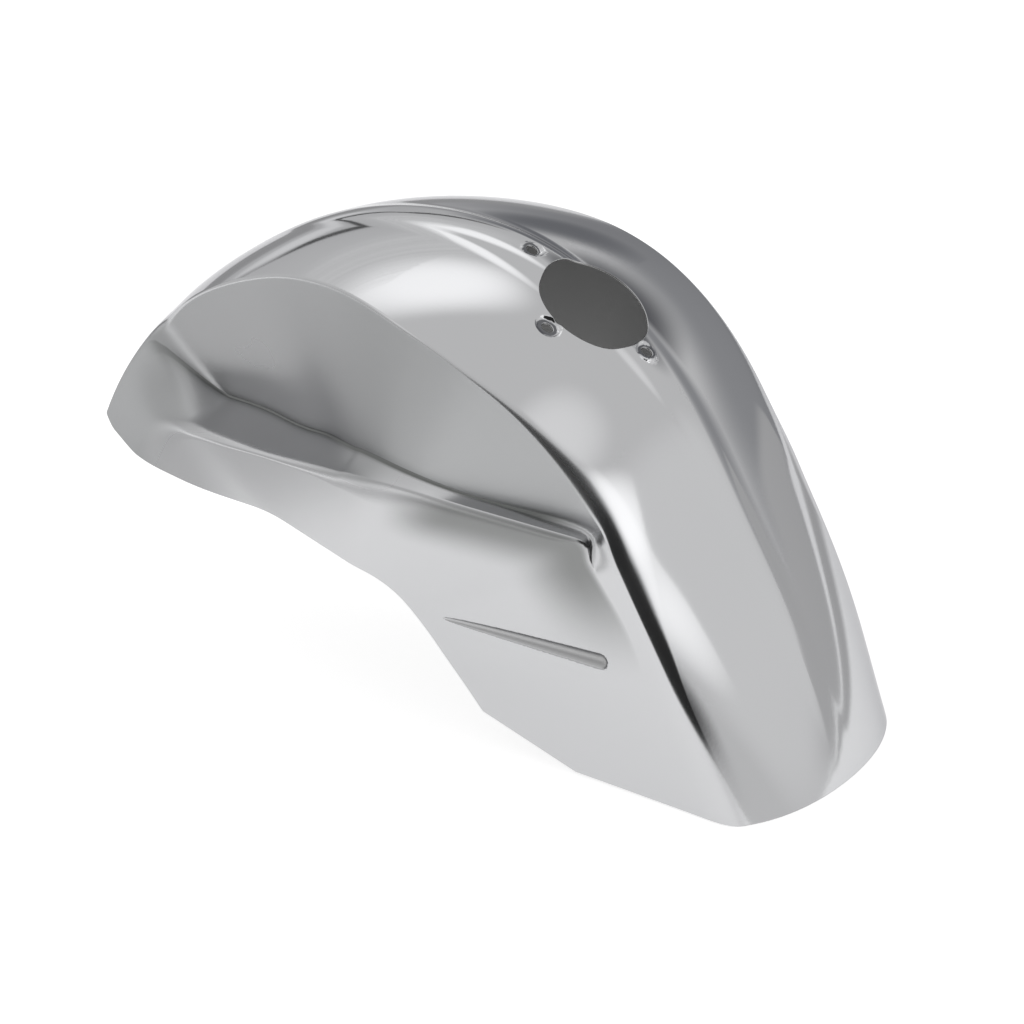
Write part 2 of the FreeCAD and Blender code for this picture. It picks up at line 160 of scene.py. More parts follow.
rise = np.maximum(0.2, np.sin(np.radians(ANGLE)))
ended = soft_step(ANGLE, 143, 150)
crest_radius = spine - crown_bend * crest_half ** 2
crest = at(crest_half, crest_radius)
edge = at(edge_half, EDGE_RADIUS)
foot_height = rail((46, 119), (54, 119), (61, 115.5), (67, 116.5), (76, 121), (100, 126), (114, 124),
                   (124, 119.5), (142, 117))
foot_level = level_line(foot_height, FOOT_BELOW_CREST)
along_crest = np.minimum(foot_level, crest_radius - rail((END, 23), (164, 12), (195, 34)))
foot_radius = foot_level + (along_crest - foot_level) * ended
foot_half = crest_half - rail((85, 4), (100, 11), (140, 11)) + rail((28, 14), (39, 2), (44, 0))
fold_radius = np.minimum(level_line(LEDGE_HEIGHT, FOLD_BELOW_CREST), foot_radius - 1 - 3 * ended)
print("ledge at radius", fold_radius.min().round(1), "to", fold_radius.max().round(1), "mm")

# %% [markdown]
# At the front of the recess its foot climbs to a point just under the crest, the brow. A second, slower
# climb gives the hollow ahead of the ledge its round cove. Behind the recess every point slides onto a
# straight wall from the crest to the lower edge, because the real tail is plain there.

# %% Ends of the recess
sunk = soft_step(ANGLE, START - 5, START - 1)
plain = soft_step(ANGLE, 144, 153)
ledge = at(foot_half, foot_radius)
brow = mix(crest, at(fold_half, fold_radius), 0.1)
cove = mix(brow, ledge, soft_step(ANGLE, 28, 43))


def onto_wall(half, radius):
    """Behind the recess a point slides onto the straight wall from crest to lower edge."""
    down = (crest_radius - radius) / (crest_radius - EDGE_RADIUS)
    wall = crest_half + (edge_half - crest_half) * down
    return at(half + (wall - half) * plain, radius)


foot = onto_wall(*mix(brow, ledge, sunk).T)
fold = onto_wall(fold_half, fold_radius)
print("recess from", START, "to", END, "degrees")

# %% [markdown]
# A panel is a cubic curve with four control points. Where the real sheet runs on without a crease, at the
# nose and down the tail, the point that two panels share is pulled onto the line between its neighbours,
# which makes the curves meet smoothly. The shelf sags a little at the front, where the photograph shows a
# hollow.

# %% Panels of half a cross-section
def gap(a, b):
    """Distance between two lines of points, section by section."""
    return np.linalg.norm(a - b, axis=1)


def straight(a, b):
    """A panel that is flat across: its four control points are evenly spaced on a line."""
    return [a, mix(a, b, 1 / 3), mix(a, b, 2 / 3), b]


def ease(before, after, softness):
    """Pulls the shared point toward the line between its neighbours: 0 keeps the crease, 1 removes it."""
    a, corner, b = before[-2], before[-1], after[1]
    smooth = mix(a, b, gap(a, corner) / (gap(a, corner) + gap(corner, b)))
    before[-1] = after[0] = mix(corner, smooth, softness)


rib_base = at(base_half, spine - crown_bend * base_half ** 2)
rib_edge = at(rib_half, spine - crown_bend * rib_half ** 2 + 0.85 * rib)
meet = at((crest_half + base_half) / 2, spine - crown_bend * crest_half * base_half)
sag = rail((90, 3), (112, 0.6)) * (1 - ended)
bulge = mix(fold, mix(ledge, foot, ended), 0.5) - at(0 * rise, sag)
skirt, face = straight(edge, fold), straight(foot, crest)
shelf = [fold, mix(fold, bulge, 2 / 3), mix(mix(cove, foot, ended), bulge, 2 / 3), foot]
crown = [crest, mix(crest, meet, 2 / 3), mix(rib_base, meet, 2 / 3), rib_base]
into_tail = soft_step(ANGLE, 146, 152)
ease(skirt, shelf, np.maximum(rail((30, 1), (44, 0)), into_tail))
ease(shelf, face, np.maximum(1 - sunk, into_tail))
ease(face, crown, rail((START - LEAD, 0.5), (START + LEAD, 0), (150, 0), (186, 1)))
half_chain = [skirt, shelf, face, crown, straight(rib_base, rib_edge)]
peak = at(0 * rib, 2 * (spine + rib) - rib_edge[:, 1])
flip = np.array([-1.0, 1.0])
top = [rib_edge * flip, mix(rib_edge * flip, peak, 2 / 3), mix(rib_edge, peak, 2 / 3), rib_edge]
print(len(half_chain), "panels a side and one over the spine")

# %% [markdown]
# Along the arch every control point runs on a cubic B-spline through the fan of sections, so the finished
# surface is smooth both ways. The net below holds all of them: section, panel, control point, coordinate.
# A B-spline cuts its corners, so the radii are swollen by the small amount that it takes off a circle.

# %% The control net
swell = 3.0 / (2.0 + np.cos(np.radians(PITCH)))
chain = [[point * flip for point in panel] for panel in half_chain] + [top]
chain += [panel[::-1] for panel in half_chain[::-1]]
flat_net = np.array(chain).transpose(2, 0, 1, 3)
turn = np.radians(ANGLE)[:, None, None]
reach = flat_net[..., 1] * swell
NET = np.stack([WHEEL[0] - reach * np.cos(turn), flat_net[..., 0], WHEEL[2] + reach * np.sin(turn)], -1)
PANELS = NET.shape[1]
print("control net", NET.shape)


def bezier(points, t):
    """Cubic Bezier curve: the four points weighted by (1-t)^3, 3t(1-t)^2, 3t^2(1-t) and t^3."""
    s = 1 - t
    weight = np.stack([s ** 3, 3 * t * s ** 2, 3 * t ** 2 * s, t ** 3], -1)
    return np.einsum("nk,nkc->nc", weight, points)


def bezier_run(points, t):
    """Direction of that curve: differences of neighbouring points weighted by (1-t)^2, 2t(1-t) and t^2."""
    s = 1 - t
    weight = np.stack([s ** 2, 2 * t * s, t ** 2], -1)
    run = np.einsum("nk,nkc->nc", weight, np.diff(points, axis=1))
    return run / np.linalg.norm(run, axis=1, keepdims=True)

# %% [markdown]
# A press leaves a bend, not a knife edge. Each crease is therefore cut back by the reach of its bend,
# which may differ on its two sides, and bridged by a small curve that leaves both panels along their own
# direction. The crest has its widest bend where the cheek ends, and that bend carries the long dark
# streak of the picture.

# %% Rows across and the reach of each bend
CELLS = [26, 10, 14, 24, 3]
BENDS = [8, 6, 10, 4, 4]
foot_reach = rail((34, 8), (42, 2), (136, 1.5), (148, 14))
rib_reach = [rail((90, 6)), rail((90, 5))]
LOWER_REACH = [rail((28, 26), (42, 8), (60, 4), (80, 6), (105, 16), (142, 16)), foot_reach,
               rail((30, 9), (48, 2), (120, 1.5), (145, 6), (160, 4), (180, 3))] + rib_reach
crest_reach = rail((30, 9), (48, 2), (112, 2), (124, 6), (146, 27), (154, 22), (164, 9), (176, 3))
UPPER_REACH = [rail((28, 20), (42, 10), (60, 7), (90, 4)), foot_reach, crest_reach] + rib_reach
before_crease = LOWER_REACH + UPPER_REACH[::-1]
after_crease = UPPER_REACH + LOWER_REACH[::-1]
BEND_REACH = np.array([before_crease, after_crease]).transpose(2, 1, 0)
cells = CELLS + [8] + CELLS[::-1]
bends = BENDS + BENDS[::-1]
strips = [("panel", k // 2, cells[k // 2]) if k % 2 == 0 else ("bend", k // 2, bends[k // 2])
          for k in range(2 * PANELS - 1)]
row_of = np.r_[0, np.cumsum([count for _, _, count in strips])]
print("rows across:", row_of[-1])

# %% [markdown]
# The result is one function of two numbers: u, the angle along the arch, and v across it, which counts
# rows of the mesh, a fixed number for each panel and each bend. It takes whole arrays of u and v, so a
# mesh of any fineness is one call.

# %% The sheet before pressing
FULLNESS = 0.62
REACH_LIMIT = 0.45


def plain_skin(u, v):
    """Point of the sheet's outer face at (u, v), before the seats and grooves are pressed in."""
    place = (u - ANGLE[0]) / PITCH
    points = blend(NET, place)
    length = np.linalg.norm(points[:, :, 3] - points[:, :, 0], axis=2)
    back = np.zeros((len(u), PANELS + 1, 2))
    share = blend(BEND_REACH, place) / np.stack([length[:, :-1], length[:, 1:]], -1)
    back[:, 1:-1] = share / (1 + (share / REACH_LIMIT) ** 4) ** 0.25
    out = np.zeros((len(u), 3))
    strip = np.clip(np.searchsorted(row_of, v, side="right") - 1, 0, len(strips) - 1)
    for k, (kind, p, count) in enumerate(strips):
        on = strip == k
        s = (v[on] - row_of[k]) / count
        here = points[on, p]
        end = 1 - back[on, p + 1, 0]
        if kind == "panel":
            start = back[on, p, 1]
            out[on] = bezier(here, start + (end - start) * s)
            continue
        after, begin = points[on, p + 1], back[on, p + 1, 1]
        a, b, corner = bezier(here, end), bezier(after, begin), here[:, 3]
        out_run = bezier_run(here, end) * np.linalg.norm(corner - a, axis=1, keepdims=True)
        in_run = bezier_run(after, begin) * np.linalg.norm(corner - b, axis=1, keepdims=True)
        out[on] = bezier(np.stack([a, a + FULLNESS * out_run, b - FULLNESS * in_run, b], 1), s)
    return out


print("top of the arch at", plain_skin(np.array([90.0]), np.array([row_of[-1] / 2])).round(1)[0])

# %% [markdown]
# Three screws hold the fender to the fork. A flat seat, square to the steering axis, is pressed round
# each hole. The skirts carry a groove that starts as a point at the front and ends round. Sculpting or a
# Boolean could add them to the mesh, but as part of the formula they stay smooth at any fineness.

# %% Seats and grooves
SHEET = 1.2
OPENING = 36.5
SCREW = 4.2
SEATS = [(np.array([-47.5831, 0, 20.5836]), 6.6), (np.array([35.0994, 0, -26.2061]), 6.6),
         (np.array([-7.2003, -43.8, -5.0712]), 7.4)]
SEAT_RAMP = (0.7, 1.3)
SEAT_REACH = 30.0
GROOVE_TIP, GROOVE_END = np.array([-48.0, -188.0]), np.array([68.0, -182.0])
GROOVE_LINE = GROOVE_END - GROOVE_TIP
TIP_HALF, GROOVE_HALF, GROOVE_DEPTH = 0.4, 4.8, 3.6
ON_SKIRT = 70.0


def off_axis(point, through):
    """Distance of each point from the line along the steering axis through a place."""
    offset = point - through
    return np.linalg.norm(offset - np.outer(offset @ STEER, STEER), axis=1)


def groove_depth(point):
    """Depth of the pressed groove: a round bottom whose half width and depth grow from tip to end."""
    length = np.linalg.norm(GROOVE_LINE)
    offset = point[:, [0, 2]] - GROOVE_TIP
    forward = offset @ GROOVE_LINE / length
    beside = offset @ np.array([-GROOVE_LINE[1], GROOVE_LINE[0]]) / length
    past = np.maximum(0, forward - length)
    grown = np.clip(forward / length, 0, 1) ** 0.5
    half = TIP_HALF + GROOVE_HALF * grown
    inside = np.clip(1 - (beside ** 2 + past ** 2) / half ** 2, 0, 1)
    return GROOVE_DEPTH * grown * inside ** 0.8 * (forward > 0) * (np.abs(point[:, 1]) > ON_SKIRT)


def skin(u, v):
    """The sheet's outer face with the seats flattened and the grooves pressed in."""
    point = plain_skin(u, v)
    for middle, radius in SEATS:
        floor = middle + STEER * SHEET / 2
        pull = 1 - soft_step(off_axis(point, middle), radius - SEAT_RAMP[0], radius + SEAT_RAMP[1])
        above = (point - floor) @ STEER
        pull = pull * (np.abs(above) < SEAT_REACH)
        point = point - np.outer(above * pull, STEER)
    point[:, 1] -= np.sign(point[:, 1]) * groove_depth(point)
    return point


def outward(u, v, step=0.03):
    """Outward normal: the cross product of the skin's two central differences, along u and across v."""
    du = skin(u + 6 * step, v) - skin(u - 6 * step, v)
    dv = skin(u, v + step) - skin(u, v - step)
    normal = np.cross(du, dv)
    return normal / np.linalg.norm(normal, axis=1, keepdims=True)


print(len(SEATS), "seats, groove", np.linalg.norm(GROOVE_LINE).round(1), "mm long")

# %% [markdown]
# After pressing, the real sheet is trimmed along its lower edge: nearly level under the nose, up and over
# the arch cut, and down to the tail. The trim line is a chain of straight lines with round corners. The
# nose droops a little between its tip and the arch, and its tip is rounded off.

# %% The lower edge
NOSE_SLOPE, TAIL_SLOPE = np.tan(np.radians([3.0, 0.8]))
NOSE_LEVEL, TAIL_LEVEL = -145.0, -267.6
TRIM = np.array([(-500, NOSE_LEVEL + 328 * NOSE_SLOPE), (-172, NOSE_LEVEL), (-82.5, -173.5),
                 (-7, TAIL_LEVEL), (400, TAIL_LEVEL - 407 * TAIL_SLOPE)])
TRIM_ROUNDS = [110.0, 60.0, 55.0]
TIP_LIFT, NOSE_DROOP = 10.0, 6.0


def rounded(before, corner, after, radius):
    """Arc that rounds a corner: it turns evenly from one straight line to the next."""
    to_back = (before - corner) / np.linalg.norm(before - corner)
    to_next = (after - corner) / np.linalg.norm(after - corner)
    half = np.arccos(to_back @ to_next) / 2
    middle = to_back + to_next
    centre = corner + middle / np.linalg.norm(middle) * radius / np.sin(half)
    first = corner + to_back * radius / np.tan(half) - centre
    last = corner + to_next * radius / np.tan(half) - centre
    share = np.linspace(0, 1, 41)[:, None]
    sweep = np.pi - 2 * half
    return centre + (first * np.sin((1 - share) * sweep) + last * np.sin(share * sweep)) / np.sin(sweep)


arcs = [rounded(*TRIM[k:k + 3], radius) for k, radius in enumerate(TRIM_ROUNDS)]
TRIM_PATH = np.concatenate([TRIM[:1]] + arcs + [TRIM[-1:]])


def lower_edge(x):
    """Height of the lower edge at x: the trim line, lifted at the tip of the nose and drooping behind it."""
    lift = TIP_LIFT * soft_step(-x, 318, 345)
    droop = NOSE_DROOP * (1 - soft_step(np.abs(x + 256), 10, 95))
    return np.interp(x, TRIM_PATH[:, 0], TRIM_PATH[:, 1]) + lift - droop


print("trim line of", len(TRIM_PATH), "points")

# %% [markdown]
# The mesh starts as a plain grid in (u, v), made finer where a screw, the opening or a groove needs it. A
# very fine grid everywhere would be simpler, but a piece should stay under 200,000 triangles.

# %% A flat grid, finer near the details
COLUMNS = 192
ON_CROWN = 120.0
SEAT_MARGIN, RIM_MARGIN, GROOVE_MARGIN = 3.0, 2.5, 8.0
u_line = np.linspace(15.0, 197.0, COLUMNS + 1)
v_line = np.arange(row_of[-1] + 1.0)
grid_u, grid_v = np.meshgrid(u_line, v_line, indexing="ij")
number = np.arange(grid_u.size).reshape(grid_u.shape)
quads = np.stack([number[:-1, :-1], number[1:, :-1], number[1:, 1:], number[:-1, 1:]], -1).reshape(-1, 4)
flat = bpy.data.meshes.new("fender_flat")
flat.from_pydata(np.stack([grid_u, grid_v, 0 * grid_u], -1).reshape(-1, 3).tolist(), [], quads.tolist())


def flat_points(mesh):
    """Vertex coordinates of a mesh as an array."""
    array = np.empty(len(mesh.vertices) * 3)
    mesh.vertices.foreach_get("co", array)
    return array.reshape(-1, 3)


def near_details(point):
    """True close to a screw seat, the rim of the opening or a groove."""
    seat = np.min([off_axis(point, middle) - radius for middle, radius in SEATS], axis=0)
    rim = np.abs(off_axis(point, np.zeros(3)) - OPENING)
    on_top = (point - WHEEL) @ STEER > ON_CROWN
    offset = point[:, [0, 2]] - GROOVE_TIP
    share = np.clip(offset @ GROOVE_LINE / (GROOVE_LINE @ GROOVE_LINE), 0, 1)
    groove = np.linalg.norm(offset - np.outer(share, GROOVE_LINE), axis=1)
    on_crown = ((seat < SEAT_MARGIN) | (rim < RIM_MARGIN)) & on_top
    return on_crown | (groove < GROOVE_MARGIN) & (np.abs(point[:, 1]) > ON_SKIRT)


def near_rim(point):
    """True just inside the rim of a groove, where the sheet turns sharply."""
    depth = groove_depth(point)
    return (depth > 0) & (depth < 2)


def refine(mesh, near, cuts):
    """Cuts the edges of every face that the near test picks, a number of times each way."""
    co = flat_points(mesh)
    picked = near(skin(co[:, 0], co[:, 1]))
    ends = np.empty(len(mesh.edges) * 2, int)
    mesh.edges.foreach_get("vertices", ends)
    chosen = np.flatnonzero(picked[ends.reshape(-1, 2)].any(1))
    work = bmesh.new()
    work.from_mesh(mesh)
    work.edges.ensure_lookup_table()
    bmesh.ops.subdivide_edges(work, edges=[work.edges[k] for k in chosen], cuts=cuts, use_grid_fill=True)
    work.to_mesh(mesh)
    work.free()


refine(flat, near_details, 2)
refine(flat, near_rim, 1)
print("flat grid:", len(flat.vertices), "points")

# %% [markdown]
# Trimming and drilling are done while the mesh is still flat. Each cut puts a distance into the third
# coordinate, such as the height above the lower edge, and Bisect removes what is below zero. Only after
# the cuts are the flat points carried onto the surface, so every cut edge lies exactly on it. A Boolean
# would leave long thin faces beside each hole, and chrome would show them.

# %% Cut the flat grid
FAR_OFF = 100.0


def cut(mesh, distance):
    """Keeps the part of the flat mesh where a distance, worked out on the surface, is above zero."""
    co = flat_points(mesh)
    co[:, 2] = distance(skin(co[:, 0], co[:, 1]))
    mesh.vertices.foreach_set("co", co.ravel())
    work = bmesh.new()
    work.from_mesh(mesh)
    everything = work.verts[:] + work.edges[:] + work.faces[:]
    bmesh.ops.bisect_plane(work, geom=everything, dist=1e-4, plane_co=(0, 0, 0), plane_no=(0, 0, 1),
                           clear_inner=True)
    work.to_mesh(mesh)
    work.free()


def clear_of(through, radius):
    """Distance outside a hole drilled along the steering axis, for points near the crown only."""
    def distance(point):
        near = (point - WHEEL) @ STEER > ON_CROWN
        return np.where(near, off_axis(point, through) - radius, FAR_OFF)
    return distance


cut(flat, lambda point: point[:, 2] - lower_edge(point[:, 0]))
cut(flat, clear_of(np.zeros(3), OPENING))
for middle, _ in SEATS:
    cut(flat, clear_of(middle, SCREW))
work = bmesh.new()
work.from_mesh(flat)
bmesh.ops.triangulate(work, faces=work.faces[:])
work.to_mesh(flat)
work.free()
print("after the cuts:", len(flat.vertices), "points,", len(flat.polygons), "triangles")

# %% [markdown]
# The sheet has a thickness. The inner face is the outer one moved in along its normals. Solidify would do
# the same, but here the normals come from the formula, so the two faces stay exactly parallel.

# %% Outer and inner face
co = flat_points(flat)
u_at, v_at = co[:, 0], co[:, 1]
triangles = np.empty(len(flat.polygons) * 3, int)
flat.polygons.foreach_get("vertices", triangles)
triangles = triangles.reshape(-1, 3)
bpy.data.meshes.remove(flat)
outer = skin(u_at, v_at)
normal = outward(u_at, v_at)
corner = outer[triangles]
facing = np.cross(corner[:, 1] - corner[:, 0], corner[:, 2] - corner[:, 0])
if np.sum(facing * normal[triangles[:, 0]]) < 0:
    triangles = triangles[:, ::-1]
inner = outer - normal * SHEET
count = len(outer)
print("each face:", count, "points")

# %% [markdown]
# Every cut edge of the real sheet is rubbed round before plating. The lip is three rows of points that
# swell out between the two faces, round the lower edge, the opening and the screw holes alike.

# %% The rounded lip
LIP = [(0.12, 0.25), (0.5, 0.45), (0.88, 0.25)]


def boundary(triangles):
    """Directed edges that belong to one triangle only."""
    ends = np.concatenate([triangles[:, [0, 1]], triangles[:, [1, 2]], triangles[:, [2, 0]]])
    key = np.sort(ends, 1)
    _, first, used = np.unique(key, axis=0, return_index=True, return_counts=True)
    return ends[first[used == 1]]


rim = boundary(triangles)
rim_points, rim_number = np.unique(rim, return_inverse=True)
rim_number = rim_number.reshape(rim.shape)
beyond = np.cross(outer[rim[:, 1]] - outer[rim[:, 0]], normal[rim[:, 0]] + normal[rim[:, 1]])
lip_out = np.zeros((len(rim_points), 3))
np.add.at(lip_out, rim_number[:, 0], beyond)
np.add.at(lip_out, rim_number[:, 1], beyond)
lip_out /= np.linalg.norm(lip_out, axis=1, keepdims=True)
rows = [outer[rim_points] - normal[rim_points] * SHEET * deep + lip_out * SHEET * out for deep, out in LIP]
lean = [normal[rim_points] * (1 - 2 * deep) + lip_out * 0.9 for deep, _ in LIP]
loops = [2 * count + k * len(rim_points) + np.arange(len(rim_points)) for k in range(len(LIP))]
loops = [rim_points] + loops + [rim_points + count]
lip = []
for upper, lower in zip(loops, loops[1:]):
    a, b = rim_number.T
    lip.append(np.stack([upper[b], upper[a], lower[a]], 1))
    lip.append(np.stack([upper[b], lower[a], lower[b]], 1))
print("lip:", len(rim_points), "points round the edges")

# %% [markdown]
# Both faces and the lip go into one closed mesh. It is given the true normals of the surface, because
# chrome shows the smallest dent in the shading. Units change here from millimetres to Blender's metres.

# %% The finished mesh
points = np.concatenate([outer, inner] + rows) * 0.001
normals = np.concatenate([normal, -normal] + lean)
normals /= np.linalg.norm(normals, axis=1, keepdims=True)
faces = np.concatenate([triangles, triangles[:, ::-1] + count] + lip)
shell = bpy.data.meshes.new("fender_shell")
shell.vertices.add(len(points))
shell.vertices.foreach_set("co", points.ravel())
shell.loops.add(faces.size)
shell.loops.foreach_set("vertex_index", faces.ravel())
shell.polygons.add(len(faces))
shell.polygons.foreach_set("loop_start", np.arange(0, faces.size, 3))
shell.update(calc_edges=True)
shell.validate()
shell.normals_split_custom_set_from_vertices(normals.tolist())
fender = bpy.data.objects.new("fender_shell", shell)
bpy.context.collection.objects.link(fender)
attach(fender, "root")
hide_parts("fender")
print("shell:", len(points), "points,", len(faces), "triangles")

# %% [markdown]
# A polishing wheel reaches the crown easily and the hollow cheek less well, so the cheek is rougher, and
# its colour is darkened as painted shade. The narrow crease at the foot of the recess gets a dark line of
# painted shade, and a soft strip under the rear of the ledge a painted dark reflection. The grooves are
# rougher and darkened as painted shade. The inside is not polished. Each of these is stored as a number
# at every point, which the material reads by name. Painting them by hand would do too, but rows and
# angles follow the creases exactly.

# %% Where the polish is dull, and where shade is painted
from_edge = np.minimum(v_at, row_of[-1] - v_at)
flank = 1 - soft_step(from_edge, row_of[5], row_of[6])
# Painted shade on the recessed cheek: its colour is darkened and its roughness raised, at a strength that
# changes along the arch and fades out behind the recess.
front_tone = 0.3 + 0.7 * np.maximum(soft_step(u_at, 62, 100), 1 - soft_step(u_at, 38, 48))
cheek_haze_and_shade = flank * soft_step(from_edge, row_of[1], row_of[2]) * front_tone * (1 - soft_step(u_at, 138, 150))
on_ledge = (1 - soft_step(from_edge, row_of[3] - 1, row_of[3] + 2)) * soft_step(u_at, 95, 112)
cheek_haze_and_shade = cheek_haze_and_shade * (1 - 0.85 * on_ledge)
# Painted shade: a dark line along the narrow crease at the foot of the recess.
crease = soft_step(from_edge, row_of[3] - 1.5, row_of[3] + 1.5)
crease = crease * (1 - soft_step(from_edge, row_of[4] - 1, row_of[4] + 0.4))
crease = crease * soft_step(u_at, 36, 44) * (1 - soft_step(u_at, 138, 146))
# Painted dark reflection: a soft dark strip under the rear of the ledge.
painted_band_under_ledge = soft_step(from_edge, row_of[1] - 9, row_of[1] + 1)
painted_band_under_ledge = painted_band_under_ledge * (1 - soft_step(from_edge, row_of[1] + 4, row_of[2]))
painted_band_under_ledge = painted_band_under_ledge * soft_step(u_at, 104, 126) * (1 - soft_step(u_at, 150, 172))
painted_shade = np.maximum(0.9 * crease, 0.78 * painted_band_under_ledge)
# Painted shade in the grooves, stronger where a groove is deeper, with more roughness too.
groove_haze_and_shade = 0.85 * np.sqrt(groove_depth(outer) / GROOVE_DEPTH)
lip_dull = np.repeat([0.5, 0.9, 1.0], len(rim_points))


def keep_number(name, values):
    """Stores one number for each point of the shell, under a name that the material can read."""
    shell.attributes.new(name, "FLOAT", "POINT").data.foreach_set("value", values)


# The inside number holds the inner face's duller finish, the lip, and the painted shade of the grooves.
keep_number("inside", np.r_[groove_haze_and_shade, np.ones(count), lip_dull])
# These numbers carry the sides' roughness and the painted shade of the cheek, the crease and the strip under
# the ledge.
for name, value in (("side", flank), ("recess", cheek_haze_and_shade), ("painted_shade", painted_shade)):
    keep_number(name, np.r_[value, value, np.tile(value[rim_points], len(LIP))])
print("numbers kept:", [kept.name for kept in shell.attributes if kept.data_type == "FLOAT"])

# %% [markdown]
# Materials are built from nodes. Sums of node outputs are written here as Python expressions: a small
# class wraps an output, and adding or multiplying it adds a Math node. A second class makes all other
# nodes.

# %% Shader expressions
class Socket:
    """Wraps a node's output so that arithmetic on it adds Math nodes."""

    def __init__(self, nodes, output):
        self.nodes, self.output = nodes, output

    def math(self, operation, a, b):
        """One Math node: an operation on two values or outputs."""
        return self.nodes.add("ShaderNodeMath", {"operation": operation}, {0: a, 1: b})

    def __add__(self, other):
        return self.math("ADD", self, other)

    def __radd__(self, other):
        return self.math("ADD", other, self)

    def __mul__(self, other):
        return self.math("MULTIPLY", self, other)

    def __rmul__(self, other):
        return self.math("MULTIPLY", other, self)


class Finish:
    """A material's nodes: add() makes one node from its type, settings and inputs."""

    def __init__(self, name):
        self.material = bpy.data.materials.new(name)
        self.material.use_nodes = True
        self.tree = self.material.node_tree
        self.shader = self.tree.nodes["Principled BSDF"]

    def add(self, kind, settings=None, inputs=None, output=0):
        """Makes a node, sets it, feeds its inputs and hands back one output."""
        node = self.tree.nodes.new(kind)
        for key, value in (settings or {}).items():
            setattr(node, key, value)
        for key, value in (inputs or {}).items():
            self.put(node.inputs[key], value)
        return Socket(self, node.outputs[output])

    def put(self, socket, value):
        """Links an output to an input, or sets the input to a plain value."""
        if isinstance(value, Socket):
            self.tree.links.new(value.output, socket)
        else:
            socket.default_value = value

    def set(self, **inputs):
        """Feeds the shader's inputs by name, with _ for a space."""
        for key, value in inputs.items():
            self.put(self.shader.inputs[key.replace("_", " ")], value)

# %% [markdown]
# Chrome is a bright, slightly cool metal, and its look is almost only what it mirrors. The finish is
# therefore quiet: a faint unevenness of colour, a little haze, a very fine grain, the duller places and
# the painted shade stored above. The specular tint darkens the mirror at a glancing angle, as chromium
# does, so the outline stays clear of the white paper behind it.

# %% Chrome plating
PLATE_DEEP, PLATE_BRIGHT = (0.555, 0.56, 0.57, 1), (0.60, 0.60, 0.61, 1)
# The recess and crease tones are painted shade; the inside tone is the inner face's duller finish and also
# the painted shade of the grooves.
RECESS_SHADE_TONE, PAINTED_SHADE_TONE, INSIDE_AND_GROOVE_SHADE_TONE = (0.43, 0.435, 0.44, 1), (0.15, 0.155, 0.15, 1), (0.36, 0.36, 0.36, 1)
chrome = Finish("chrome_plating")


def kept_number(name):
    """A number stored at each point, read back by its name."""
    return chrome.add("ShaderNodeAttribute", {"attribute_name": name}, output="Fac")


def between(share, first, second):
    """Colour mix: first where the share is 0, second where it is 1."""
    return chrome.add("ShaderNodeMix", {"data_type": "RGBA"}, {0: share, 6: first, 7: second}, output=2)


place = chrome.add("ShaderNodeTexCoord", output="Object")
inner_finish_and_groove_shade = kept_number("inside")
# The recess number brings the cheek's extra roughness and its painted shade.
recess = kept_number("recess")
haze = chrome.add("ShaderNodeTexNoise", inputs={"Vector": place, "Scale": 14.0, "Detail": 4.0})
cloud = chrome.add("ShaderNodeTexNoise", inputs={"Vector": place, "Scale": 5.0, "Detail": 2.0})
grain = chrome.add("ShaderNodeTexNoise", inputs={"Vector": place, "Scale": 420.0, "Detail": 3.0})
# Cloudy plating colour, darkened on the cheek as painted shade.
plated = between(recess, between(cloud, PLATE_DEEP, PLATE_BRIGHT), RECESS_SHADE_TONE)
# Painted shade along the foot crease and a painted dark reflection under the ledge.
plated = between(kept_number("painted_shade"), plated, PAINTED_SHADE_TONE)
# The inner face's duller finish, which also gives the grooves their painted shade.
plated = between(inner_finish_and_groove_shade, plated, INSIDE_AND_GROOVE_SHADE_TONE)
peel = chrome.add("ShaderNodeBump", inputs={"Height": grain, "Strength": 0.02, "Distance": 0.0002})
chrome.set(Base_Color=plated, Metallic=1.0, Specular_Tint=(0.65, 0.65, 0.66, 1), Normal=peel)
chrome.set(Roughness=0.05 + 0.04 * haze + 0.14 * kept_number("side") + 0.22 * recess + 0.2 * inner_finish_and_groove_shade)
shell.materials.append(chrome.material)
print("chrome:", len(chrome.tree.nodes), "nodes")

# %% [markdown]
# The camera stands where the photograph was taken from: to the left of the part, a little behind it and
# above, far off, with a long lens. The two angles were fitted to the outline, the opening and the screw
# holes. A short lens close by could frame the part as well, but it would swell the near end.

# %% Camera
AZIMUTH, ELEVATION = np.radians(32.8), np.radians(22.9)
DISTANCE = 2.4
FOCAL_PIXELS, PICTURE_PIXELS = 4000, 1024
level = np.cos(ELEVATION)
back = np.array([np.sin(AZIMUTH) * level, -np.cos(AZIMUTH) * level, np.sin(ELEVATION)])
right = np.array([np.cos(AZIMUTH), np.sin(AZIMUTH), 0.0])
upward = np.cross(back, right)
eye = back * DISTANCE
aim = right * -0.0501 + upward * -0.1282
view_back = (eye - aim) / np.linalg.norm(eye - aim)
view_right = np.cross([0, 0, 1.0], view_back)
view_right /= np.linalg.norm(view_right)
pose = np.eye(4)
pose[:3, :3] = np.stack([view_right, np.cross(view_back, view_right), view_back], 1)
pose[:3, 3] = eye
lens = bpy.data.cameras.new("camera")
lens.sensor_width = 36.0
lens.lens = lens.sensor_width * FOCAL_PIXELS / PICTURE_PIXELS
camera = bpy.data.objects.new("camera", lens)
bpy.context.collection.objects.link(camera)
camera.matrix_world = Matrix(pose.tolist())
bpy.context.scene.camera = camera
print("lens", round(lens.lens, 1), "mm")

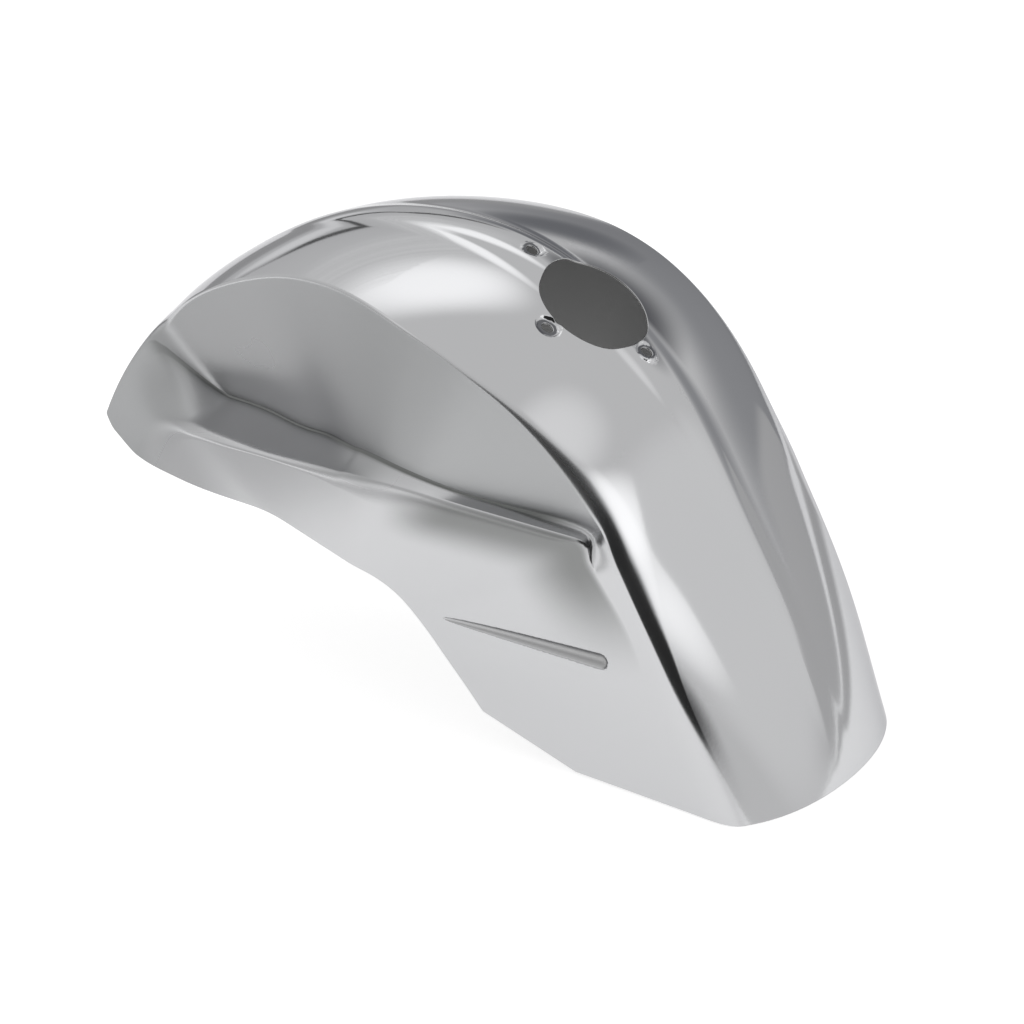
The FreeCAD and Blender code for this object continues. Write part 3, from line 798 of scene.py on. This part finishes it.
# %% [markdown]
# A polished part is pictured in a white tent. The floor is white paper that glows a little, and the sky
# is even and white, so nothing but soft light reaches the metal. Lamps would leave hard spots on chrome.

# %% Floor and tent
FLOOR = cad_box[0][2] - 0.0008


def flat_card(name, middle, across, up):
    """A stage rectangle from its middle and its two half sides."""
    signs = ((-1, -1), (1, -1), (1, 1), (-1, 1))
    corners = [np.array(middle) + a * np.array(across) + b * np.array(up) for a, b in signs]
    mesh = bpy.data.meshes.new(name)
    mesh.from_pydata([tuple(c) for c in corners], [], [(0, 1, 2, 3)])
    made = bpy.data.objects.new(name, mesh)
    bpy.context.collection.objects.link(made)
    return mesh


paper = Finish("paper")
paper.set(Base_Color=(0.45, 0.45, 0.45, 1), Roughness=0.9)
paper.set(Emission_Color=(1, 1, 1, 1), Emission_Strength=0.84)
flat_card("floor", (0, 0, FLOOR), (6, 0, 0), (0, 6, 0)).materials.append(paper.material)
world = bpy.data.worlds.new("tent")
bpy.context.scene.world = world
world.use_nodes = True
sky = world.node_tree.nodes["Background"]
sky.inputs["Color"].default_value = (1, 1, 1, 1)
sky.inputs["Strength"].default_value = 0.78
bpy.context.scene.view_settings.view_transform = "Standard"
print("floor at", round(FLOOR, 4), "m")

# %% [markdown]
# In a tent chrome would look flat and white, so cards outside the picture give it its tones. Each card is
# a rectangle with a soft oval edge, three metres out, placed by the direction that the metal mirrors:
# azimuth 0 is the left side, 90 the rear, and elevation counts up from the horizon. Its glow is its
# brightness.

# %% Cards with soft edges
CARD_DISTANCE = 3.0


def out_at(azimuth, elevation, half_wide, half_high, roll=0.0):
    """Middle and half sides of a card, from its direction and the half angles that it covers."""
    a, e, r = np.radians([azimuth, elevation, roll])
    toward = np.array([np.sin(a) * np.cos(e), -np.cos(a) * np.cos(e), np.sin(e)])
    level_way = np.array([np.cos(a), np.sin(a), 0])
    up_way = np.cross(toward, level_way)
    across = level_way * np.cos(r) + up_way * np.sin(r)
    up = up_way * np.cos(r) - level_way * np.sin(r)
    wide, high = CARD_DISTANCE * np.tan(np.radians([half_wide, half_high]))
    return toward * CARD_DISTANCE, across * wide, up * high


def soft_card(name, place, glow, core=0.0, tint=(1, 1, 1), slats=0.0):
    """A glowing card that fades out: with s, t from -1 to 1 across it, solid where s^2 + t^2 is below core.

    Slats, when asked for, break it into uneven level stripes.
    """
    middle, across, up = place
    paint = Finish(name)
    where = paint.add("ShaderNodeTexCoord", output="Object")
    offset = paint.add("ShaderNodeVectorMath", {"operation": "SUBTRACT"}, {0: where, 1: tuple(middle)})
    s = paint.add("ShaderNodeVectorMath", {"operation": "DOT_PRODUCT"},
                  {0: offset, 1: tuple(across / (across @ across))}, output="Value")
    t = paint.add("ShaderNodeVectorMath", {"operation": "DOT_PRODUCT"},
                  {0: offset, 1: tuple(up / (up @ up))}, output="Value")
    fade = {"From Min": core, "From Max": 1.0, "To Min": 1.0, "To Max": 0.0}
    cover = paint.add("ShaderNodeMapRange", {"interpolation_type": "SMOOTHSTEP"},
                      {"Value": s * s + t * t, **fade})
    if slats:
        stripe = paint.add("ShaderNodeTexNoise", {"noise_dimensions": "1D"}, {"W": slats * t, "Detail": 1.0})
        cover = cover * paint.add("ShaderNodeMapRange", {"interpolation_type": "SMOOTHSTEP"},
                                  {"Value": stripe, "From Min": 0.42, "From Max": 0.58})
    paint.set(Base_Color=(0, 0, 0, 1), Roughness=1.0, Specular_IOR_Level=0.0, Alpha=cover)
    paint.set(Emission_Color=tint + (1,), Emission_Strength=glow)
    flat_card(name, middle, across, up).materials.append(paint.material)


print("cards stand", CARD_DISTANCE, "m out")

# %% [markdown]
# The bright cards come first. Those to the right of the camera give the rear wall its glow and its long
# highlight. Those behind the part give the crown the bands of light ahead of the opening, streaked by
# slats as by a blind. The strip on the left lights the ledge.

# %% Bright cards
soft_card("right_wide", out_at(122, 12, 30, 20), 0.90, core=0.2)
soft_card("right_high", out_at(112, 48, 18, 16), 1.05)
soft_card("right_softbox", out_at(104, 23, 17, 14), 1.7)
soft_card("back_softbox", out_at(221, 54, 28, 13, -20), 1.52)
soft_card("back_slats", out_at(232, 37, 26, 13, -12), 0.95, core=0.2, slats=5.0)
soft_card("front_glow", out_at(234, 9, 12, 4), 1.15)
soft_card("left_strip", out_at(295, 56, 30, 14), 1.0)
print("bright cards set")

# %% [markdown]
# Grey and dark cards draw the rest. The far wall shades the far side of the crown, a thin dark line
# crosses its front, the grey ones on the left tone the cheek, and the one beside the camera makes the
# black streak along the bend behind the cheek. Two patches of grey paper lie on the floor, where only the
# metal sees them.

# %% Grey and dark cards
COOL, PALE_COOL, DEEP_COOL = (0.92, 0.94, 1.0), (0.96, 0.97, 1.0), (0.9, 0.92, 1.0)
soft_card("low_back", out_at(232, -1, 30, 5.5), 0.55, core=0.3)
soft_card("low_right", out_at(150, -1, 30, 5.5), 0.6, core=0.3)
soft_card("back_dark", out_at(203, 16, 15, 9), 0.27, tint=COOL)
soft_card("dark_line", out_at(230, 16, 26, 1.5, -27), 0.1, core=0.5)
soft_card("front_grey", out_at(256, 3, 16, 9), 0.4)
soft_card("left_grey", out_at(325, 18, 26, 19), 0.6)
soft_card("far_wall", out_at(182, 5, 40, 20), 0.42, core=0.2, tint=PALE_COOL)
soft_card("far_dark", out_at(174, 33, 22, 15), 0.14, tint=DEEP_COOL)
soft_card("camera_side", out_at(48, 24, 47, 32), 0.03, core=0.7)
patch_way, patch_side = np.array([-0.84, -0.54, 0]), np.array([-0.54, 0.84, 0])
left_patch = np.array([-0.51, -0.42, FLOOR + 0.001])
rear_patch = np.array([0.69, 1.1, FLOOR + 0.001])
soft_card("grey_floor", (left_patch, patch_way * 0.29, patch_side * 0.48), 0.68, core=0.4)
soft_card("grey_behind", (rear_patch, patch_way * 0.7, patch_side * 0.7), 0.6, core=0.4)
print("grey and dark cards set")
